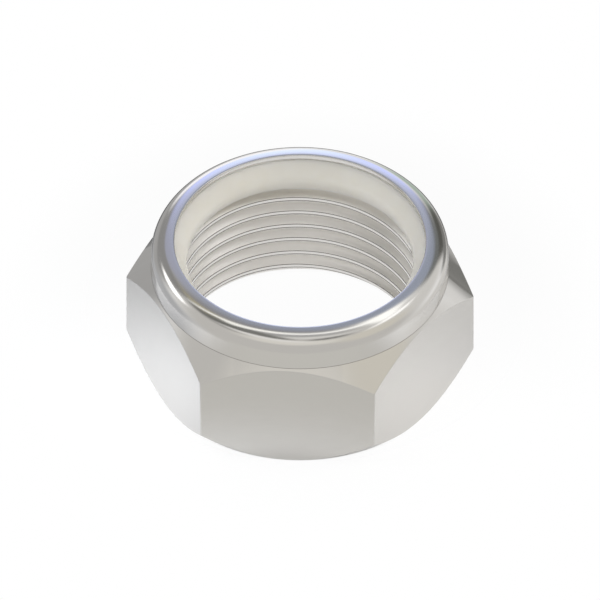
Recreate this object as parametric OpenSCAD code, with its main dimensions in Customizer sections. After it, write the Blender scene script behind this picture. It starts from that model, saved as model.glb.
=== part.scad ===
// Hex lock nut with a captive nylon locking ring, for a 1 inch fine screw thread.
// Millimetres. The bearing face lies on Z = 0 with its centre at the origin, the bore runs
// along Z, two corners of the hexagon point along X and two wrench flats face along Y.
// Nothing moves: the ring is held in its pocket by the rolled rim of the collar.
// The collar and the ring are sized from the thread outwards, the hexagon from the wrench.

/* [Hexagon] */
// Distance between two opposite wrench flats
across_flats = 30.16; // [29.8:0.02:32]
// Overall height, from the bearing face to the top of the rolled rim
height = 15.9; // [13:0.1:20]
// How far the edge of the bearing face lies inside the flats
bearing_inset = 0.05; // [0:0.05:1]
// Slope of the cone that takes off the upper corners, from the horizontal
top_chamfer_angle = 46.5; // [30:0.5:52]
// Slope of the cone that takes off the lower corners, from the horizontal
bottom_chamfer_angle = 48.5; // [25:0.5:55]

/* [Thread bore] */
// Minor diameter of the thread, which the plain bore has here
thread_minor_dia = 23.8; // [22.8:0.1:24.2]
// Width of the 45 degree countersink round the bore in the bearing face
countersink_width = 1.1; // [0.8:0.1:1.6]
// Width of the 45 degree cone round the bore in the floor of the ring's pocket
relief_width = 1; // [0.8:0.1:1.3]

/* [Locking ring] */
// How far the ring's bore stands inside the thread's minor radius
ring_bite = 0.6; // [0.3:0.05:0.9]
// How far the ring's pocket reaches out past the thread's minor radius
pocket_reach = 1.75; // [1.5:0.05:1.9]
// Depth of the pocket's floor below the top of the rim
pocket_depth = 3.4; // [2.8:0.1:3.8]
// Height of the straight part of the ring's bore
ring_land = 1.2; // [0.6:0.1:1.8]
// Rounding of the ring's lower bore edge
ring_edge_round = 0.15; // [0.05:0.01:0.3]
// Gap between the ring and the pocket's side and roof
ring_clearance = 0.03; // [0.01:0.01:0.1]

/* [Collar] */
// Thickness of the collar's wall round the pocket
collar_wall = 1.2; // [0.9:0.05:1.4]
// Height of the collar above the corner cone
collar_height = 3.6; // [2.8:0.1:4.5]
// Outside radius of the rolled rim
rim_radius = 1.75; // [1:0.05:2.2]
// How far the rolled rim reaches in over the ring
rim_reach = 1.1; // [0.7:0.05:1.4]
// Thickness of the rim at its edge
rim_edge = 0.6; // [0.4:0.05:1]
// Rounding of the two edges of the rim's mouth
mouth_round = 0.12; // [0.05:0.01:0.18]

/* [Hidden] */
$fn = 144;
cut_over = 1;
// Hexagon
flat_radius = across_flats / 2;
corner_radius = flat_radius / cos(30);
bearing_radius = flat_radius - bearing_inset;
shoulder_z = height - collar_height;
// From the thread outwards
minor_radius = thread_minor_dia / 2;
ring_bore_radius = minor_radius - ring_bite;
pocket_radius = minor_radius + pocket_reach;
mouth_radius = pocket_radius - rim_reach;
collar_radius = pocket_radius + collar_wall;
// The pocket's floor, and its roof under the rim
seat_z = height - pocket_depth;
roof_z = height - rim_edge;
// The roof turns down into the pocket's side at the height where the rim does outside
pocket_round = rim_radius - rim_edge;

// Half section of a disc, from the axis out, with its upper outer corner rounded
module rounded_disc_section(radius, bottom, top, round) {
    translate([0, bottom]) square([radius, top - round - bottom]);
    translate([0, bottom]) square([radius - round, top - bottom]);
    translate([radius - round, top - round]) circle(round);
}

// Half section that takes the hexagon's corners off above and below
module corner_cone_section() {
    reach = corner_radius + cut_over;
    top_drop = (reach - collar_radius) * tan(top_chamfer_angle);
    bottom_rise = (reach - bearing_radius) * tan(bottom_chamfer_angle);
    intersection() {
        polygon([
            [0, 0],
            [bearing_radius, 0],
            [reach, bottom_rise],
            [reach, shoulder_z],
            [0, shoulder_z]
        ]);
        polygon([
            [0, 0],
            [reach, 0],
            [reach, shoulder_z - top_drop],
            [collar_radius, shoulder_z],
            [0, shoulder_z]
        ]);
    }
}

// Hexagon bar with its corners turned off, up to the foot of the collar
module hexagon() {
    intersection() {
        cylinder(r = corner_radius, h = shoulder_z, $fn = 6);
        rotate_extrude() corner_cone_section();
    }
}

// Round collar with its rolled top, still solid inside
module collar() {
    rotate_extrude() rounded_disc_section(collar_radius, shoulder_z - cut_over, height, rim_radius);
}

// Countersink, thread bore and relief cone, as one turned hole
module thread_bore() {
    rotate_extrude() polygon([
        [0, -cut_over],
        [minor_radius + countersink_width + cut_over, -cut_over],
        [minor_radius, countersink_width],
        [minor_radius, seat_z - relief_width],
        [minor_radius + relief_width, seat_z],
        [0, seat_z]
    ]);
}

// Pocket of the locking ring, closed in from above by the rolled rim
module ring_pocket() {
    rotate_extrude() rounded_disc_section(pocket_radius, seat_z, roof_z, pocket_round);
}

// Mouth of the rim, with both its edges rounded
module rim_mouth() {
    rotate_extrude() difference() {
        translate([0, seat_z]) square([mouth_radius + mouth_round, pocket_depth + cut_over]);
        translate([mouth_radius, roof_z + mouth_round]) square([cut_over, rim_edge - 2 * mouth_round]);
        for (z = [roof_z + mouth_round, height - mouth_round])
            translate([mouth_radius + mouth_round, z]) circle(mouth_round);
    }
}

// One-piece steel body of the nut
module nut_body() {
    color("#b9b6b1") difference() {
        union() {
            hexagon();
            collar();
        }
        thread_bore();
        ring_pocket();
        rim_mouth();
    }
}

// What rounding a lower inner edge takes away
module lower_edge_cut(round) {
    difference() {
        square(round);
        translate([round, round]) circle(round);
    }
}

// Nylon ring: a straight bore that grips the screw and a cone that leads out to the rim
module locking_ring() {
    top_z = roof_z - ring_clearance;
    color("#d4cfc2") rotate_extrude() difference() {
        rounded_disc_section(
            pocket_radius - ring_clearance, seat_z, top_z, pocket_round - ring_clearance
        );
        polygon([
            [-cut_over, seat_z - cut_over],
            [ring_bore_radius, seat_z - cut_over],
            [ring_bore_radius, seat_z + ring_land],
            [mouth_radius, top_z],
            [mouth_radius, top_z + cut_over],
            [-cut_over, top_z + cut_over]
        ]);
        translate([ring_bore_radius, seat_z]) lower_edge_cut(ring_edge_round);
    }
}

nut_body();
locking_ring();
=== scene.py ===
# %% [markdown]
# A hex lock nut for a 1 inch fine thread, with a nylon ring held under the rolled rim of its collar.
# The real nut is turned from hexagon bar: the flats keep the drawn bar's surface, and the cones,
# the collar and the bore have the fine rings of a lathe tool. The ring is a moulded washer that
# is dropped into the collar before the rim is rolled over it. This script builds both pieces as
# they look, in the frame of the CAD part, which has the true size of everything but the thread.

# %% Load the frame
import math

import bpy
import numpy as np
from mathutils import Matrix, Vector


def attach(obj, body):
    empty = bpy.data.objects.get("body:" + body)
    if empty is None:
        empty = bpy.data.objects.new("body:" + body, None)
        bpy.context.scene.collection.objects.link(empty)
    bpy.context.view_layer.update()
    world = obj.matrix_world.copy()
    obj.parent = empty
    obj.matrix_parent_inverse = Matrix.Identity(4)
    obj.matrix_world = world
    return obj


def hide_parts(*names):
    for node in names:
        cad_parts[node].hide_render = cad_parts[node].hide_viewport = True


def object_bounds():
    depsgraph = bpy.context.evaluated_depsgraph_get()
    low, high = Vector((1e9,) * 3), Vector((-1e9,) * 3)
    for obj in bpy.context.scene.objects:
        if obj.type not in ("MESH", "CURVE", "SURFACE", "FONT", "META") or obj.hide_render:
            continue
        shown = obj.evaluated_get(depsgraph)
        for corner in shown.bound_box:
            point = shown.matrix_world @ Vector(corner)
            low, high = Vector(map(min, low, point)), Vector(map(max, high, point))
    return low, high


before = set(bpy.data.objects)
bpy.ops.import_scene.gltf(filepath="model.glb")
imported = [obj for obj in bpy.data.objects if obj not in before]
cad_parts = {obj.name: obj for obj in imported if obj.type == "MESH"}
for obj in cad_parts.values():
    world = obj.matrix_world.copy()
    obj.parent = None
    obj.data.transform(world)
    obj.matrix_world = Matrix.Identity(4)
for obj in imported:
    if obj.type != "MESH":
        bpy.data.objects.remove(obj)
cad_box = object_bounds()
print("CAD box, mm:", [[round(v * 1000, 3) for v in corner] for corner in cad_box])

# %% [markdown]
# Everything is worked out in millimetres and turned into metres when a mesh is made. The main
# sizes are the CAD part's. The rest are the small roundings that only the looks have, as tumbling
# leaves them on every edge.

# %% Sizes of the nut in millimetres
MM = 0.001
ACROSS_FLATS, HEIGHT = 30.16, 15.9
FLAT_RADIUS = ACROSS_FLATS / 2
MINOR_RADIUS = 11.9
BEARING_INSET = 0.05
BEARING_RADIUS = FLAT_RADIUS - BEARING_INSET
BOTTOM_CONE, TOP_CONE = 48.5, 46.5
BOTTOM_SLOPE, TOP_SLOPE = (math.tan(math.radians(a)) for a in (BOTTOM_CONE, TOP_CONE))
COLLAR_HEIGHT, POCKET_DEPTH, RIM_EDGE = 3.6, 3.4, 0.6
POCKET_REACH, COLLAR_WALL, RIM_REACH = 1.75, 1.2, 1.1
SHOULDER_Z = HEIGHT - COLLAR_HEIGHT
SEAT_Z = HEIGHT - POCKET_DEPTH
ROOF_Z = HEIGHT - RIM_EDGE
POCKET_RADIUS = MINOR_RADIUS + POCKET_REACH
COLLAR_RADIUS = POCKET_RADIUS + COLLAR_WALL
MOUTH_RADIUS = POCKET_RADIUS - RIM_REACH
RIM_RADIUS = 1.75
POCKET_ROUND = RIM_RADIUS - RIM_EDGE
COUNTERSINK, RELIEF = 1.1, 1.0
EDGE, CORNER_EDGE = 0.12, 0.28
BEARING_EDGE, FOOT_EDGE, SEAT_EDGE = 0.06, 0.1, 0.1

box_height = (cad_box[1].z - cad_box[0].z) / MM
box_depth = (cad_box[1].y - cad_box[0].y) / MM
print(f"CAD part is {box_height:.2f} high and {box_depth:.2f} across flats")

# %% [markdown]
# The thread is a right-hand 14 to the inch. Its ridges are a quarter pitch wide at the crest, the
# flanks slope at 30 degrees, and the grooves end in a narrow rounded floor, as a tap leaves them.
# PHASE is the height of a crest's upper edge at the angle PHASE_ANGLE, read from the photograph.

# %% Sizes of the thread
PITCH = 25.4 / 14
THREAD_DEPTH, FLANK_ANGLE = 0.85, 30
MAJOR_RADIUS = MINOR_RADIUS + THREAD_DEPTH
CREST = PITCH / 4
FLANK_RISE = THREAD_DEPTH * math.tan(math.radians(FLANK_ANGLE))
CREST_EDGE, ROOT_EDGE = 0.07, 0.12
PHASE, PHASE_ANGLE = 1.667, 94.8
print(f"Pitch {PITCH:.4f} mm, groove floor {PITCH - CREST - 2 * FLANK_RISE:.3f} mm wide")

# %% [markdown]
# Both pieces are bodies of revolution in all but the flats and the thread, so both are drawn as a
# half section of radius and height. A corner of that section is given with the radius of its
# rounding and the number of steps in it, and this function puts the arc in.

# %% Round the corners of a section
def rounded(corners, closed=False):
    points = []
    count = len(corners)
    for i, (r, z, radius, steps) in enumerate(corners):
        here = np.array((r, z), float)
        if radius <= 0 or (not closed and i in (0, count - 1)):
            points.append(here)
            continue
        before = np.array(corners[i - 1][:2], float) - here
        after = np.array(corners[(i + 1) % count][:2], float) - here
        length_before, length_after = np.linalg.norm(before), np.linalg.norm(after)
        before, after = before / length_before, after / length_after
        angle = math.acos(max(-1.0, min(1.0, float(before @ after))))
        reach = min(radius / math.tan(angle / 2), 0.49 * length_before, 0.49 * length_after)
        radius = reach * math.tan(angle / 2)
        middle = (before + after) / np.linalg.norm(before + after)
        centre = here + middle * radius / math.sin(angle / 2)
        start, end = here + before * reach - centre, here + after * reach - centre
        a = math.atan2(start[1], start[0])
        turn = (math.atan2(end[1], end[0]) - a + math.pi) % (2 * math.pi) - math.pi
        for k in range(steps + 1):
            q = a + turn * k / steps
            points.append(centre + radius * np.array((math.cos(q), math.sin(q))))
    return points


one_corner = [(0, 0, 0, 0), (1, 0, 0.2, 4), (1, 1, 0, 0)]
print(len(rounded(one_corner)), "points where one corner is rounded in four steps")

# %% [markdown]
# The hexagon is a radius that depends on the angle. Corners point along X. Near a corner the
# radius follows a small arc in place of the sharp edge.

# %% Radius of the hexagon at an angle
COS_30 = math.cos(math.radians(30))
CORNER_CENTRE = (FLAT_RADIUS - CORNER_EDGE) / COS_30
CORNER_SPAN = math.degrees(math.atan2(CORNER_EDGE / 2, CORNER_CENTRE + CORNER_EDGE * COS_30))


def hexagon_radius(angle):
    off = angle % 60
    off = min(off, 60 - off)
    if off < CORNER_SPAN:
        t = math.radians(off)
        chord = math.sqrt(CORNER_EDGE ** 2 - (CORNER_CENTRE * math.sin(t)) ** 2)
        return CORNER_CENTRE * math.cos(t) + chord
    return FLAT_RADIUS / math.cos(math.radians(30 - off))


print(f"Corner radius {hexagon_radius(0):.3f} mm with its rounding")

# %% [markdown]
# One column of the nut is the closed section at one angle. It runs from the countersink out over
# the bearing face, up the flat, over the corner cone and the collar, in over the rolled rim, down
# the ring's pocket and back down the thread. The rim is the same in every column. Rolling leaves
# its lip a little higher at the mouth than at its outer edge, so it slopes outwards by CROWN, and
# LIP_BEND says how much the slope flattens towards the mouth.

# %% Section of the rolled rim
CROWN = math.radians(8)
LIP_BEND = 0.45
MOUTH_EDGE = 0.06
RIM_STEPS, LIP_STEPS, MOUTH_STEPS = 14, 4, 4


def rim_section():
    inner = MOUTH_RADIUS + MOUTH_EDGE
    outer = COLLAR_RADIUS - RIM_RADIUS * (1 - math.sin(CROWN))
    full_rise = (outer - inner) * math.tan(CROWN)
    rise = full_rise * (1 - LIP_BEND)
    centre = np.array((COLLAR_RADIUS - RIM_RADIUS, HEIGHT - rise - RIM_RADIUS * math.cos(CROWN)))
    arc = []
    for k in range(RIM_STEPS + 1):
        t = (math.pi / 2 - CROWN) * k / RIM_STEPS
        arc.append(centre + RIM_RADIUS * np.array((math.cos(t), math.sin(t))))
    outer_r, outer_z = arc[-1]
    for k in range(1, LIP_STEPS + 1):
        f = k / LIP_STEPS
        lift = full_rise * (f - LIP_BEND * f * f)
        arc.append(np.array((outer_r + (inner - outer_r) * f, outer_z + lift)))
    edge_z = arc[-1][1] - MOUTH_EDGE
    for k in range(1, MOUTH_STEPS + 1):
        t = math.pi / 2 * (1 + k / MOUTH_STEPS)
        arc.append(np.array((inner + MOUTH_EDGE * math.cos(t), edge_z + MOUTH_EDGE * math.sin(t))))
    return arc


RIM = rim_section()
print(f"{len(RIM)} points in the rim, its top at {max(p[1] for p in RIM):.3f} mm")

# %% [markdown]
# One turn of the thread runs from the upper edge of a crest down to the next one. Each crest is
# divided at CREST_SHINE of its width, because its lower part carries a painted dark line, and each
# flank has two more points. These are the places in the list where the turn is divided.

# %% One turn of the thread
CREST_SHINE, FLANK_STEPS = 0.82, (0.33, 0.67)
UPPER_EDGE_END, LOWER_EDGE_END, ROOT_END = 2, 5, 11
thread_corners = [
    (MAJOR_RADIUS, FLANK_RISE, 0, 0),
    (MINOR_RADIUS, 0, CREST_EDGE, 2),
    (MINOR_RADIUS, -CREST, CREST_EDGE, 2),
    (MAJOR_RADIUS, -CREST - FLANK_RISE, ROOT_EDGE, 2),
    (MAJOR_RADIUS, -PITCH + FLANK_RISE, ROOT_EDGE, 2),
    (MINOR_RADIUS, -PITCH, 0, 0),
]
turn_points = rounded(thread_corners)[1:-1]
next_points = turn_points[1:] + [turn_points[0] - np.array((0, PITCH))]
ONE_TURN = []
for i, (point, following) in enumerate(zip(turn_points, next_points)):
    step = following - point
    ONE_TURN.append(point)
    if i == UPPER_EDGE_END:
        ONE_TURN.append(point + step * CREST_SHINE)
    if i in (LOWER_EDGE_END, ROOT_END):
        ONE_TURN += [point + step * f for f in FLANK_STEPS]
print(f"{len(ONE_TURN)} points in a turn")

# %% [markdown]
# The thread's points climb with the angle and are held between the two faces. The countersink and
# the pocket's cone cut into them, which is how a tapped hole runs out at both ends.

# %% Section of the nut at an angle
TURNS_DOWN = 3
TURNS_UP = math.ceil((SEAT_Z - PHASE) / PITCH) + 1


def nut_section(angle):
    r = hexagon_radius(angle)
    low = (r - BEARING_RADIUS) * BOTTOM_SLOPE
    high = SHOULDER_Z - (r - COLLAR_RADIUS) * TOP_SLOPE
    points = rounded([
        (MINOR_RADIUS + COUNTERSINK, 0, 0, 0),
        (BEARING_RADIUS, 0, BEARING_EDGE, 2),
        (r, low, EDGE, 2),
        (r, high, EDGE, 2),
        (COLLAR_RADIUS, SHOULDER_Z, FOOT_EDGE, 2),
        (COLLAR_RADIUS, HEIGHT - RIM_RADIUS, 0, 0),
    ])[:-1]
    points += RIM
    points += rounded([
        (MOUTH_RADIUS, HEIGHT - RIM_EDGE / 2, 0, 0),
        (MOUTH_RADIUS, ROOF_Z, EDGE, 3),
        (POCKET_RADIUS, ROOF_Z, POCKET_ROUND, 5),
        (POCKET_RADIUS, SEAT_Z, SEAT_EDGE, 2),
        (MINOR_RADIUS + RELIEF, SEAT_Z, 0, 0),
    ])[1:]
    climb = PHASE + PITCH * (angle - PHASE_ANGLE) / 360
    for turn in range(TURNS_UP, -TURNS_DOWN, -1):
        for point in ONE_TURN:
            radius, z = point[0], point[1] + climb + turn * PITCH
            if z <= 0:
                radius, z = MINOR_RADIUS + COUNTERSINK, 0.0
            elif z >= SEAT_Z:
                radius, z = MINOR_RADIUS + RELIEF, SEAT_Z
            else:
                sunk = MINOR_RADIUS + COUNTERSINK - z
                relieved = MINOR_RADIUS + RELIEF - (SEAT_Z - z)
                radius = max(radius, sunk, relieved)
            points.append(np.array((radius, z)))
    return points


print(f"{len(nut_section(0))} points in a column of the nut")

# %% [markdown]
# The columns stand one degree apart, with more of them on the rounded corners of the hexagon.
# A mesh is made from a grid of columns; points that fall together are merged, so that nothing is
# left over where the thread runs out.

# %% Turn columns into a mesh
CORNER_COLUMNS = (-1, -0.66, -0.33, 0.33, 0.66, 1)


def column_angles(step):
    angles = [k * step for k in range(int(round(360 / step)))]
    for corner in range(6):
        angles += [(60 * corner + CORNER_SPAN * f) % 360 for f in CORNER_COLUMNS]
    return sorted(set(round(a, 5) for a in angles)) + [360.0]


def lathe(name, section, angles, finish):
    grid = np.array([section(a) for a in angles])
    turn = np.radians(angles)[:, None]
    xyz = np.stack([grid[..., 0] * np.cos(turn), grid[..., 0] * np.sin(turn), grid[..., 1]], -1)
    columns, rows = xyz.shape[:2]
    flat = np.round(xyz.reshape(-1, 3) * MM, 8)
    points, which = np.unique(flat, axis=0, return_inverse=True)
    which = which.reshape(columns, rows)
    faces, strips = [], []
    for i in range(columns - 1):
        for j in range(rows):
            k = (j + 1) % rows
            face = [which[i, j], which[i + 1, j], which[i + 1, k], which[i, k]]
            face = [int(v) for n, v in enumerate(face) if v != face[n - 1]]
            if len(set(face)) == len(face) >= 3:
                faces.append(face)
                strips.append(j)
    mesh = bpy.data.meshes.new(name)
    mesh.from_pydata(points.tolist(), [], faces)
    mesh.polygons.foreach_set("material_index", [finish(j) for j in strips])
    mesh.shade_smooth()
    piece = bpy.data.objects.new(name, mesh)
    bpy.context.scene.collection.objects.link(piece)
    return piece


print(len(column_angles(1.0)), "columns in the nut")

# %% [markdown]
# Steel has four finishes here, and a strip between two points of the section has one of them. The
# flats are drawn, the thread is tapped and painted lighter, and the rest is turned, with the middle
# of each crest. The edges of the crests and the inside corner at the collar's foot get a darker
# steel: painted dark lines that stand for the shade and the dark reflections there.

# %% Make the nut
TURNED, DRAWN, TAPPED_LIGHTENED, DARK_LINED = range(4)
FLAT_ROWS, COLLAR_FOOT = (6, 7), 10
THREAD_START = len(nut_section(0)) - (TURNS_UP + TURNS_DOWN) * len(ONE_TURN)
CREST_FLAT, CREST_EDGES = UPPER_EDGE_END, (0, 1, 3, 4, 5)


def nut_finish(row):
    if row in FLAT_ROWS:
        return DRAWN
    # The inside corner at the collar's foot gets the steel with painted dark lines.
    if row == COLLAR_FOOT:
        return DARK_LINED
    in_turn = (row - THREAD_START) % len(ONE_TURN)
    if row < THREAD_START or in_turn == CREST_FLAT:
        return TURNED
    # The crest edges get painted dark lines; the other strips of the thread get the lighter tapped
    # steel.
    return DARK_LINED if in_turn in CREST_EDGES else TAPPED_LIGHTENED


nut = lathe("nut_look", nut_section, column_angles(1.0), nut_finish)
print(len(nut.data.polygons), "faces in the nut")

# %% [markdown]
# The ring is a plain washer of natural nylon. Its bore is a short straight land that grips the
# screw, then a rounded shoulder and a cone that opens out to the rim. Its section doesn't change
# with the angle.

# %% Section of the locking ring
RING_BORE = MINOR_RADIUS - 0.6
RING_LAND, GAP = 1.2, 0.03
BORE_EDGE, LIP_EDGE, SHOULDER_ROUND = 0.15, 0.08, 1.2
ring_corners = [
    (RING_BORE, SEAT_Z, BORE_EDGE, 4),
    (POCKET_RADIUS - GAP, SEAT_Z, SEAT_EDGE, 2),
    (POCKET_RADIUS - GAP, ROOF_Z - GAP, POCKET_ROUND - GAP, 6),
    (MOUTH_RADIUS, ROOF_Z - GAP, LIP_EDGE, 3),
    (RING_BORE, SEAT_Z + RING_LAND, SHOULDER_ROUND, 6),
]
RING_SECTION = rounded(ring_corners, closed=True)
whole_degrees = [float(a) for a in range(361)]
ring = lathe("ring_look", lambda angle: RING_SECTION, whole_degrees, lambda row: 0)
print(len(ring.data.polygons), "faces in the ring")

# %% [markdown]
# Shading follows the true surface: wide faces keep their own direction, and the narrow rounded
# edges between them carry the turn. Blender's weighted normals do this from the faces' areas.

# %% Weight the normals by area
for piece in (nut, ring):
    weights = piece.modifiers.new("normals", "WEIGHTED_NORMAL")
    weights.mode = "FACE_AREA"
    weights.weight = 80
    weights.keep_sharp = True
print("Normals weighted on", nut.name, "and", ring.name)

# %% [markdown]
# Colours are written as sRGB hex and turned into linear values by one function. One helper adds
# every node: it sets the plain settings and the unlinked inputs, and links the others.

# %% Colour and node helpers
def colour(code):
    parts = [int(code[i:i + 2], 16) / 255 for i in (1, 3, 5)]
    return [c / 12.92 if c <= 0.04045 else ((c + 0.055) / 1.055) ** 2.4 for c in parts] + [1.0]


def add(tree, kind, inputs=None, **settings):
    node = tree.nodes.new(kind)
    for name, value in settings.items():
        setattr(node, name, value)
    for name, value in (inputs or {}).items():
        if isinstance(value, bpy.types.NodeSocket):
            tree.links.new(value, node.inputs[name])
        else:
            node.inputs[name].default_value = value
    return node


def new_material(name, look):
    material = bpy.data.materials.new(name)
    material.use_nodes = True
    material.diffuse_color = look["Base Color"]
    tree = material.node_tree
    tree.nodes.clear()
    shader = add(tree, "ShaderNodeBsdfPrincipled", look)
    add(tree, "ShaderNodeOutputMaterial", {"Surface": shader.outputs[0]})
    return material, tree, shader


print("Middle grey in linear light:", round(colour("#808080")[0], 3))

# %% [markdown]
# Every tool leaves marks that run the way it moved: rings where the work turned, and straight lines
# where the bar was drawn through its die. Both are a noise that changes quickly across the marks and
# very slowly along them, and it only tilts the surface a little. Real marks are a few hundredths of
# a millimetre apart, which is too fine to show, so these are drawn about 0.1 mm apart.
# For the rings, RING_STRETCH turns the angle round the axis into a short way in millimetres. For
# the lines, LINE_STRETCH shortens the height.

# %% Marks of the tools
MARKS_PER_MM, MARK_DEPTH = 9, 0.004
RING_STRETCH, LINE_STRETCH = 0.4, 0.02


def tool_marks(tree, shader, turning, strength):
    place = add(tree, "ShaderNodeTexCoord")
    parts = add(tree, "ShaderNodeSeparateXYZ", {"Vector": place.outputs["Object"]})
    x, y, z = (parts.outputs[name] for name in "XYZ")
    if turning:
        flat_place = add(tree, "ShaderNodeCombineXYZ", {"X": x, "Y": y})
        radius = add(tree, "ShaderNodeVectorMath", {0: flat_place.outputs[0]}, operation="LENGTH")
        angle = add(tree, "ShaderNodeMath", {0: y, 1: x}, operation="ARCTAN2")
        slow = add(tree, "ShaderNodeMath", {
            0: angle.outputs[0], 1: RING_STRETCH * MM}, operation="MULTIPLY")
        axes = {"X": radius.outputs["Value"], "Y": slow.outputs[0], "Z": z}
    else:
        slow = add(tree, "ShaderNodeMath", {0: z, 1: LINE_STRETCH}, operation="MULTIPLY")
        axes = {"X": x, "Y": y, "Z": slow.outputs[0]}
    stretched = add(tree, "ShaderNodeCombineXYZ", axes)
    marks = add(tree, "ShaderNodeTexNoise", {
        "Vector": stretched.outputs[0], "Scale": MARKS_PER_MM / MM, "Detail": 2.0,
        "Roughness": 0.6})
    relief = add(tree, "ShaderNodeBump", {
        "Height": marks.outputs[0], "Strength": strength, "Distance": MARK_DEPTH * MM})
    tree.links.new(relief.outputs[0], shader.inputs["Normal"])


print(f"Tool marks drawn {1 / MARKS_PER_MM:.2f} mm apart")

# %% [markdown]
# Stainless steel, turned and lightly tumbled. The colour is the usual one of stainless steel, and
# the metal is fairly smooth, so that the rim shows clear bright and dark lines. The crests of the
# thread have this finish too: they are what is left of the bored hole.

# %% Turned steel
STEEL = {"Base Color": colour("#dddbd8"), "Metallic": 1.0, "Roughness": 0.15}
turned, tree, shader = new_material("turned_stainless_steel", STEEL)
tool_marks(tree, shader, turning=True, strength=0.12)
nut.data.materials.append(turned)
print("Finish", TURNED, "is", turned.name)

# %% [markdown]
# The flats are never cut. They keep the skin of the drawn bar, which is even and a little duller
# than the turned faces, with very faint lines along the bar.

# %% Drawn steel of the flats
drawn, tree, shader = new_material("drawn_stainless_steel", {
    **STEEL, "Base Color": colour("#d9d7d4"), "Roughness": 0.24})
tool_marks(tree, shader, turning=False, strength=0.05)
nut.data.materials.append(drawn)
print("Finish", DRAWN, "is", drawn.name)

# %% [markdown]
# A tap tears the steel slightly and leaves it satin, and the light goes to and fro between the
# walls of the bore. The high roughness spreads each reflection. The colour is paler than the turned
# steel's: painted light that makes up for the light that one bounce between rough grooves loses.

# %% Tapped steel of the thread, painted lighter
# The pale colour here is painted light, not the steel's own colour.
tapped_painted_light, tree, shader = new_material("tapped_steel_painted_lighter", {
    **STEEL, "Base Color": colour("#f7f5f2"), "Roughness": 0.4})
tool_marks(tree, shader, turning=True, strength=0.2)
nut.data.materials.append(tapped_painted_light)
print("Finish", TAPPED_LIGHTENED, "is", tapped_painted_light.name)

# %% [markdown]
# Thin dark lines run along the two edges of each crest and along the collar's foot. They are
# painted shade and painted dark reflections: a duller and darker steel on these narrow strips.

# %% Painted dark lines on the crest edges and the collar's foot
painted_dark_steel, tree, shader = new_material("steel_painted_dark_lines", {
    **STEEL, "Base Color": colour("#7c7975"), "Roughness": 0.35})
tool_marks(tree, shader, turning=True, strength=0.2)
nut.data.materials.append(painted_dark_steel)
print("Finish", DARK_LINED, "is", painted_dark_steel.name)

# %% [markdown]
# Natural nylon: an off-white plastic with a soft sheen that lets a little light in. As moulded it
# is slightly uneven in colour over a millimetre or two, and its skin has a fine grain of about a
# fifth of a millimetre.

# %% Nylon
CLOUDS_PER_MM, GRAINS_PER_MM, GRAIN_DEPTH = 0.6, 5, 0.01
nylon, tree, shader = new_material("natural_nylon", {
    "Base Color": colour("#f5f0e5"), "Roughness": 0.42, "IOR": 1.53,
    "Subsurface Weight": 1.0, "Subsurface Radius": (1.0, 1.0, 0.95), "Subsurface Scale": 0.002})
place = add(tree, "ShaderNodeTexCoord").outputs["Object"]
clouds = add(tree, "ShaderNodeTexNoise", {
    "Vector": place, "Scale": CLOUDS_PER_MM / MM, "Detail": 2.0})
blend = add(tree, "ShaderNodeMix", {
    0: clouds.outputs[0], 6: colour("#f7f3ea"), 7: colour("#f3ede0")}, data_type="RGBA")
tree.links.new(blend.outputs[2], shader.inputs["Base Color"])
grain = add(tree, "ShaderNodeTexNoise", {
    "Vector": place, "Scale": GRAINS_PER_MM / MM, "Detail": 1.0})
skin = add(tree, "ShaderNodeBump", {
    "Height": grain.outputs[0], "Strength": 0.1, "Distance": GRAIN_DEPTH * MM})
tree.links.new(skin.outputs[0], shader.inputs["Normal"])
ring.data.materials.append(nylon)
print("Ring's finish:", nylon.name)

# %% [markdown]
# The pieces are drawn in place of the CAD nodes nut_body and locking_ring, which are hidden. They
# all ride on the one body.

# %% Tie the pieces to the frame
PIECES = ((nut, "nut_body", "stainless_steel"), (ring, "locking_ring", "natural_nylon"))
for piece, node, slot in PIECES:
    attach(piece, "root")
    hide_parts(node)
print("Pieces:", nut.name, ring.name)

# %% [markdown]
# Light Path tells which kind of ray has reached a surface. The floor and the room each look one way
# to the camera, another way in a mirror and a third way to everything else, so both ask this
# function whether the ray is the camera's, and whether it is a mirrored one.

# %% Tell the rays apart
def light_rays(tree):
    ray = add(tree, "ShaderNodeLightPath")
    mirrored = add(tree, "ShaderNodeMath", {
        0: ray.outputs["Is Glossy Ray"], 1: ray.outputs["Is Transmission Ray"]}, operation="MAXIMUM")
    return ray.outputs["Is Camera Ray"], mirrored.outputs[0]


print("Mirrored rays are Light Path's glossy and transmission rays")

# %% [markdown]
# The floor is white paper. The camera sees most of it as plain white, and the rest is lit by the
# lamps, so that the part keeps a soft shadow. Inside the bore the paper also shows white to the
# metal: a painted pool of light where the nut's shadow falls, which lights the thread from below.
# WHITE_SEEN and WHITE_MIRRORED are the shares of plain white outside the bore, and the next two are
# those inside it.

# %% White of the paper
BORE_OUTSIDE, BORE_INSIDE = 14.5, 12.5
WHITE_SEEN, WHITE_MIRRORED = 0.94, 0.1
WHITE_IN_BORE, WHITE_IN_BORE_MIRRORED = 0.97, 0.9

paper, tree, shader = new_material("white_paper", {
    "Base Color": colour("#ededed"), "Roughness": 1.0, "Specular IOR Level": 0.0})
seen, mirrored = light_rays(tree)
seen_white = add(tree, "ShaderNodeMath", {0: seen, 1: WHITE_SEEN}, operation="MULTIPLY")
white_outside = add(tree, "ShaderNodeMath", {
    0: mirrored, 1: WHITE_MIRRORED, 2: seen_white.outputs[0]}, operation="MULTIPLY_ADD")
place = add(tree, "ShaderNodeTexCoord").outputs["Object"]
from_axis = add(tree, "ShaderNodeVectorMath", {0: place}, operation="LENGTH")
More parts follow.
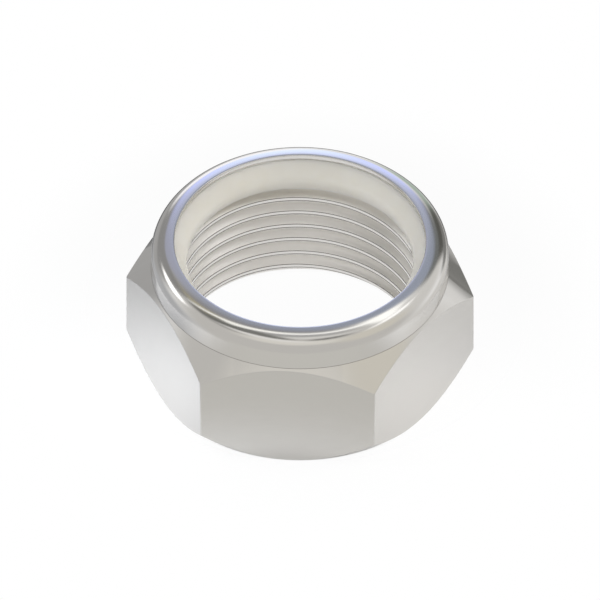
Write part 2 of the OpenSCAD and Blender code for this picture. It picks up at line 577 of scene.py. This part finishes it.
# The whiter disc inside the bore is a painted pool of light in the nut's shadow.
in_bore = add(tree, "ShaderNodeMapRange", {
    "Value": from_axis.outputs["Value"], "From Min": BORE_OUTSIDE * MM,
    "From Max": BORE_INSIDE * MM, "To Min": 0.0, "To Max": WHITE_IN_BORE,
}, interpolation_type="SMOOTHSTEP")
bore_rays = add(tree, "ShaderNodeMath", {
    0: mirrored, 1: WHITE_IN_BORE_MIRRORED, 2: seen}, operation="MULTIPLY_ADD")
white_in_bore = add(tree, "ShaderNodeMath", {
    0: bore_rays.outputs[0], 1: in_bore.outputs[0]}, operation="MULTIPLY")
white = add(tree, "ShaderNodeMath", {
    0: white_outside.outputs[0], 1: white_in_bore.outputs[0]}, operation="MAXIMUM")
glow = add(tree, "ShaderNodeEmission", {"Color": (1, 1, 1, 1), "Strength": 1.0})
lit = add(tree, "ShaderNodeMixShader", {
    0: white.outputs[0], 1: shader.outputs[0], 2: glow.outputs[0]})
print(f"Paper shows {WHITE_SEEN:.0%} plain white to the camera")

# %% [markdown]
# The paper fades out a short way from the part, sooner in front, so that the front flat mirrors the
# darker room there and stands out from its neighbours. From below it is clear, so that the bearing
# face can be looked at. It lies a little under the part, so that the two faces don't touch.

# %% Lay the paper
PAPER_RADIUS, PAPER_DROP = 90, 0.02
FADE_MIDDLE_Y, FADE_START, FADE_END = 7, 19, 33

from_middle = add(tree, "ShaderNodeVectorMath", {
    0: place, 1: (0, FADE_MIDDLE_Y * MM, 0)}, operation="DISTANCE")
fade = add(tree, "ShaderNodeMapRange", {
    "Value": from_middle.outputs["Value"], "From Min": FADE_START * MM,
    "From Max": FADE_END * MM, "To Min": 0.0, "To Max": 1.0,
}, interpolation_type="SMOOTHSTEP")
below = add(tree, "ShaderNodeNewGeometry").outputs["Backfacing"]
see_through = add(tree, "ShaderNodeMath", {0: fade.outputs[0], 1: below}, operation="MAXIMUM")
clear = add(tree, "ShaderNodeBsdfTransparent", {"Color": (1, 1, 1, 1)})
surface = add(tree, "ShaderNodeMixShader", {
    0: see_through.outputs[0], 1: lit.outputs[0], 2: clear.outputs[0]})
tree.links.new(surface.outputs[0], tree.nodes["Material Output"].inputs["Surface"])
bpy.ops.mesh.primitive_circle_add(
    vertices=64, radius=PAPER_RADIUS * MM, fill_type="NGON", location=(0, 0, -PAPER_DROP * MM))
floor = bpy.context.object
floor.name = "floor"
floor.data.materials.append(paper)
print(f"Paper {2 * PAPER_RADIUS} mm across, {PAPER_DROP} mm under the nut")

# %% [markdown]
# The photograph is a straight projection with no perspective. The camera stands 4.8 degrees to the
# right of the front and 42.9 degrees above the floor.

# %% Camera
CAMERA_AZIMUTH, CAMERA_ELEVATION = math.radians(4.8), math.radians(42.9)
AIM_Z, PICTURE_WIDTH, CAMERA_DISTANCE = 7.85, 59.84, 300
back = Vector((
    math.sin(CAMERA_AZIMUTH) * math.cos(CAMERA_ELEVATION),
    -math.cos(CAMERA_AZIMUTH) * math.cos(CAMERA_ELEVATION),
    math.sin(CAMERA_ELEVATION),
))
camera = bpy.data.objects.new("camera", bpy.data.cameras.new("camera"))
bpy.context.scene.collection.objects.link(camera)
camera.data.type = "ORTHO"
camera.data.ortho_scale = PICTURE_WIDTH * MM
camera.location = Vector((0, 0, AIM_Z * MM)) + back * (CAMERA_DISTANCE * MM)
camera.rotation_mode = "QUATERNION"
camera.rotation_quaternion = (-back).to_track_quat("-Z", "Y")
camera.data.clip_start, camera.data.clip_end = 0.01, 10
bpy.context.scene.camera = camera
print("Camera at", [round(v, 3) for v in camera.location])

# %% [markdown]
# The light is a pale tent round the part. Its walls have soft bright panels and dark cards, as a
# photographer sets them for bright metal, so that the rim and the thread show clear lines. Each
# patch is an ellipse given by the direction of its middle, seen from the part, its two half sizes
# in degrees, the share of its edge that is blurred, and its colour. Azimuth 0 is to the right of
# the picture and 90 is behind the part.

# %% Directions and patches
def direction(azimuth, elevation):
    a, e = math.radians(azimuth) + CAMERA_AZIMUTH, math.radians(elevation)
    return Vector((math.cos(a) * math.cos(e), math.sin(a) * math.cos(e), math.sin(e)))


world = bpy.data.worlds.new("tent")
bpy.context.scene.world = world
world.use_nodes = True
tree = world.node_tree
tree.nodes.clear()
towards = add(tree, "ShaderNodeTexCoord").outputs["Generated"]


def reach_along(vector, scale=1):
    scaled = tuple(v * scale for v in vector)
    product = add(tree, "ShaderNodeVectorMath", {0: towards, 1: scaled}, operation="DOT_PRODUCT")
    return product.outputs["Value"]


def patch(under, azimuth, elevation, wide, tall, soft, light):
    middle = direction(azimuth, elevation)
    side = direction(azimuth + 90, 0)
    up = middle.cross(side)
    across = reach_along(side, 1 / math.sin(math.radians(wide)))
    upward = reach_along(up, 1 / math.sin(math.radians(tall)))
    ahead = add(tree, "ShaderNodeMath", {
        0: reach_along(middle), 1: 0.0}, operation="GREATER_THAN")
    place = add(tree, "ShaderNodeCombineXYZ", {"X": across, "Y": upward})
    off = add(tree, "ShaderNodeVectorMath", {0: place.outputs[0]}, operation="LENGTH")
    inside = add(tree, "ShaderNodeMapRange", {
        "Value": off.outputs["Value"], "From Min": 1 + soft, "From Max": 1 - soft,
        "To Min": 0.0, "To Max": 1.0}, interpolation_type="SMOOTHSTEP")
    share = add(tree, "ShaderNodeMath", {
        0: inside.outputs[0], 1: ahead.outputs[0]}, operation="MULTIPLY")
    mixed = add(tree, "ShaderNodeMix", {
        0: share.outputs[0], 6: under, 7: (*light, 1)}, data_type="RGBA")
    return mixed.outputs[2]


print("To the right of the picture:", [round(v, 3) for v in direction(0, 0)])

# %% [markdown]
# The tent's side behind the camera is a little darker than the rest, and the patches lie on top of
# one another in this order. The metal sees the tent at its full strength and everything else at
# ROOM_LEVEL. The camera sees plain white.

# %% The tent
FRONT, FRONT_START, FRONT_FULL = direction(270, 20), -0.35, 0.3
WALL, FRONT_WALL = (1.0, 1.0, 1.0, 1), (0.65, 0.64, 0.62, 1)
ROOM_LEVEL = 0.55
towards_front = add(tree, "ShaderNodeMapRange", {
    "Value": reach_along(FRONT), "From Min": FRONT_START, "From Max": FRONT_FULL,
    "To Min": 0.0, "To Max": 1.0}, interpolation_type="SMOOTHSTEP")
walls = add(tree, "ShaderNodeMix", {
    0: towards_front.outputs[0], 6: WALL, 7: FRONT_WALL}, data_type="RGBA")
sky = walls.outputs[2]
PATCHES = [
    (90, 90, 16, 16, 0.4, (0.50, 0.50, 0.50)),
    (270, 77, 24, 7, 0.4, (0.85, 0.84, 0.82)),
    (15, 30, 30, 26, 0.4, (0.78, 0.77, 0.75)),
    (30, -30, 40, 16, 0.4, (0.78, 0.77, 0.75)),
    (150, -25, 36, 24, 0.4, (0.53, 0.54, 0.56)),
    (128, 22, 34, 32, 0.3, (0.33, 0.33, 0.33)),
    (125, -6, 26, 14, 0.4, (0.46, 0.46, 0.46)),
    (90, -33, 28, 17, 0.35, (0.05, 0.05, 0.05)),
    (178, 58, 26, 15, 0.4, (0.20, 0.20, 0.19)),
    (198, 73, 34, 7, 0.4, (0.22, 0.22, 0.21)),
    (136, 58, 15, 8, 0.5, (0.44, 0.41, 0.30)),
    (55, 12, 14, 30, 0.3, (0.12, 0.12, 0.11)),
    (48, -6, 16, 10, 0.4, (0.24, 0.24, 0.23)),
    (62, 38, 17, 13, 0.4, (0.20, 0.21, 0.21)),
    (92, 58, 18, 10, 0.4, (0.32, 0.32, 0.34)),
    (80, 48, 14, 9, 0.5, (0.37, 0.41, 0.51)),
    (73, 2, 7, 16, 0.5, (0.50, 0.60, 0.53)),
    (103, 42, 10, 6, 0.4, (0.45, 0.47, 0.58)),
    (91, 26, 12, 12, 0.4, (0.85, 0.95, 1.60)),
    (91, 20, 5, 16, 0.4, (1.10, 1.25, 1.50)),
    (101, 12, 12, 11, 0.3, (1.3, 1.3, 1.35)),
    (160, 25, 14, 8, 0.3, (2.0, 2.0, 2.0)),
    (85, 75, 40, 4, 0.4, (1.3, 1.3, 1.28)),
    (36, 63, 20, 6, 0.3, (1.5, 1.5, 1.47)),
    (130, 71, 14, 4, 0.4, (1.3, 1.3, 1.25)),
    (356, 50, 18, 5, 0.3, (1.5, 1.5, 1.5)),
    (266, 45, 34, 15, 0.35, (0.86, 0.84, 0.79)),
    (237, 57, 25, 6, 0.5, (0.98, 0.97, 0.95)),
    (300, 61, 11, 6, 0.4, (0.26, 0.26, 0.25)),
    (328, 30, 24, 20, 0.4, (0.76, 0.73, 0.66)),
    (270, -44, 44, 16, 0.4, (0.69, 0.682, 0.65)),
]
for entry in PATCHES:
    sky = patch(sky, *entry)
seen, mirrored = light_rays(tree)
level = add(tree, "ShaderNodeMath", {
    0: mirrored, 1: 1 - ROOM_LEVEL, 2: ROOM_LEVEL}, operation="MULTIPLY_ADD")
tent = add(tree, "ShaderNodeBackground", {"Color": sky, "Strength": level.outputs[0]})
white = add(tree, "ShaderNodeBackground", {"Color": (1, 1, 1, 1), "Strength": 1.0})
room = add(tree, "ShaderNodeMixShader", {
    0: seen, 1: tent.outputs[0], 2: white.outputs[0]})
add(tree, "ShaderNodeOutputWorld", {"Surface": room.outputs[0]})
print(len(PATCHES), "patches in the tent")

# %% [markdown]
# Four soft lamps light the paper and the nylon, cooler from the left. Two are near the part and two
# are low and far away. The metal doesn't mirror them. Distances and sizes are in millimetres.

# %% Lamps
def soft_lamp(name, azimuth, elevation, distance, size, power, tint=(1, 1, 1)):
    data = bpy.data.lights.new(name, "AREA")
    data.shape = "DISK"
    data.size = size * MM
    data.energy = power
    data.color = tint
    lamp = bpy.data.objects.new(name, data)
    bpy.context.scene.collection.objects.link(lamp)
    away = direction(azimuth, elevation)
    lamp.location = away * (distance * MM)
    lamp.rotation_mode = "QUATERNION"
    lamp.rotation_quaternion = away.to_track_quat("Z", "Y")
    lamp.visible_glossy = False
    lamp.visible_camera = False
    print(f"{name}: {power} W")


COOL = (0.92, 0.95, 1.0)
soft_lamp("left_lamp", 203, 31, 36, 14, 0.0084, COOL)
soft_lamp("right_lamp", 328, 33, 35, 14, 0.0045)
soft_lamp("left_fill", 185, 8, 500, 250, 0.55, COOL)
soft_lamp("right_fill", 357, 8, 500, 250, 1.4)

# %% [markdown]
# Blender's usual view transform softens bright colours. The part's colours are to show as they
# were written, so the plain one is used.

# %% Colour as it is
bpy.context.scene.view_settings.view_transform = "Standard"
print("View transform:", bpy.context.scene.view_settings.view_transform)
